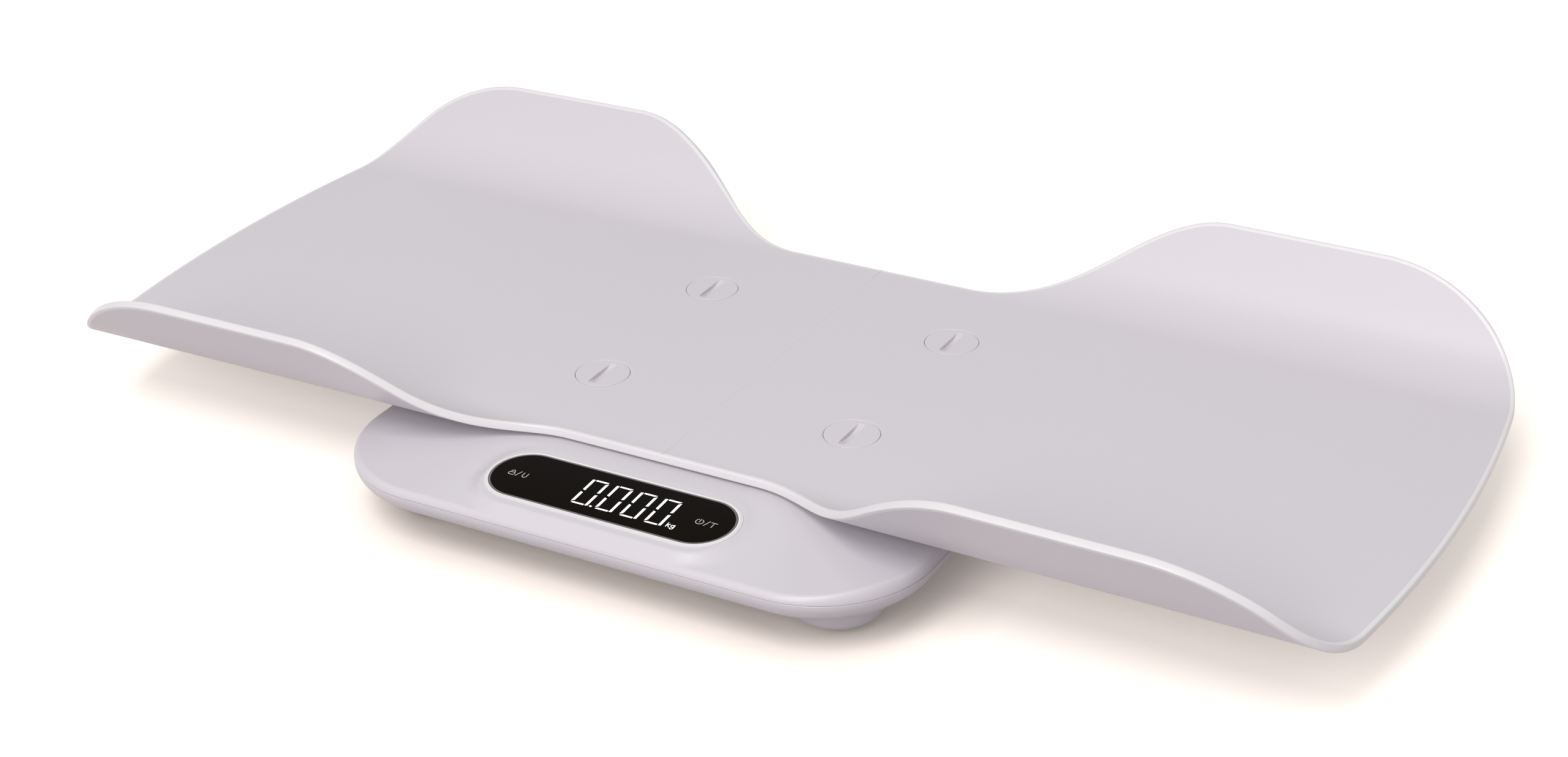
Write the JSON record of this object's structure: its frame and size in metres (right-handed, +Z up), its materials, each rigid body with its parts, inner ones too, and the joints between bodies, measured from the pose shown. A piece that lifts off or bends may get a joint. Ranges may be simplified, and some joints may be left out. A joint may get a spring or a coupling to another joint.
{
  "type": "digital baby scale",
  "caption": "Digital baby scale with a curved cradle tray in joined halves on a low base, quarter-turn coin knobs and a pill-shaped number display.",
  "frame": {"origin": "centre of the overall footprint on the table, under the tray's seam", "axes": "+X along the tray's length to the display reader's right, +Y away from the display, +Z up"},
  "size_m": [0.5904, 0.2865, 0.0755],
  "materials": {
    "white_plastic": "satin",
    "knob_plastic": "satin",
    "bezel_plastic": "polished",
    "black_window": "polished",
    "display_module": "satin",
    "circuit_board": "satin",
    "conductive_foam": "matt",
    "black_plastic": "satin",
    "foot_rubber": "matt",
    "steel": "satin",
    "nickel_plate": "bright",
    "battery_jacket": "gloss",
    "lead_jacket": "satin"
  },
  "bodies": {
    "base": {"battery_1": "battery_jacket", "battery_2": "battery_jacket", "battery_3": "battery_jacket", "buzzer": "black_plastic", "case_screw_1": "steel", "case_screw_2": "steel", "case_screw_3": "steel", "case_screw_4": "steel", "case_screw_5": "steel", "case_screw_6": "steel", "circuit_board": "circuit_board", "contact_plate_left": "nickel_plate", "contact_plate_right": "nickel_plate", "display_bezel": "bezel_plastic", "display_lens": "black_window", "foot_cup_back_left": "white_plastic", "foot_cup_back_right": "white_plastic", "foot_cup_front_left": "white_plastic", "foot_cup_front_right": "white_plastic", "foot_pad_back_left": "foot_rubber", "foot_pad_back_right": "foot_rubber", "foot_pad_front_left": "foot_rubber", "foot_pad_front_right": "foot_rubber", "load_cell_back_left": "steel", "load_cell_back_right": "steel", "load_cell_front_left": "steel", "load_cell_front_right": "steel", "load_cell_lead_back_left": "lead_jacket", "load_cell_lead_back_right": "lead_jacket", "load_cell_lead_front_left": "lead_jacket", "load_cell_lead_front_right": "lead_jacket", "lower_shell": "white_plastic", "number_display": "display_module", "touch_pad_left": "conductive_foam", "touch_pad_right": "conductive_foam", "upper_shell": "white_plastic"},
    "tray_left": {"tray_left": "white_plastic"},
    "tray_right": {"tray_right": "white_plastic"},
    "battery_cover": {"battery_cover": "white_plastic"},
    "knob_back_left": {"knob_back_left": "knob_plastic", "knob_clip_back_left": "steel"},
    "knob_front_left": {"knob_front_left": "knob_plastic", "knob_clip_front_left": "steel"},
    "knob_back_right": {"knob_back_right": "knob_plastic", "knob_clip_back_right": "steel"},
    "knob_front_right": {"knob_front_right": "knob_plastic", "knob_clip_front_right": "steel"}
  },
  "joints": [
    {"name": "tray_left_lift", "type": "slide", "parent": "base", "child": "tray_left", "axis": [0, 0, 1], "range_m": [0, 0.06]},
    {"name": "tray_right_lift", "type": "slide", "parent": "tray_left", "child": "tray_right", "axis": [0, 0, 1], "range_m": [0, 0.06]},
    {"name": "knob_back_left_turn", "type": "hinge", "parent": "tray_left", "child": "knob_back_left", "pos_m": [-0.0594, 0.0523, 0.0355], "axis": [0, 0, 1], "range_deg": [0, 90]},
    {"name": "knob_front_left_turn", "type": "hinge", "parent": "tray_left", "child": "knob_front_left", "pos_m": [-0.0594, -0.0381, 0.0355], "axis": [0, 0, 1], "range_deg": [0, 90]},
    {"name": "knob_back_right_turn", "type": "hinge", "parent": "tray_right", "child": "knob_back_right", "pos_m": [0.0594, 0.0523, 0.0355], "axis": [0, 0, 1], "range_deg": [0, 90]},
    {"name": "knob_front_right_turn", "type": "hinge", "parent": "tray_right", "child": "knob_front_right", "pos_m": [0.0594, -0.0381, 0.0355], "axis": [0, 0, 1], "range_deg": [0, 90]},
    {"name": "battery_cover_pull", "type": "slide", "parent": "base", "child": "battery_cover", "axis": [0, 0, -1], "range_m": [0, 0.02]}
  ]
}
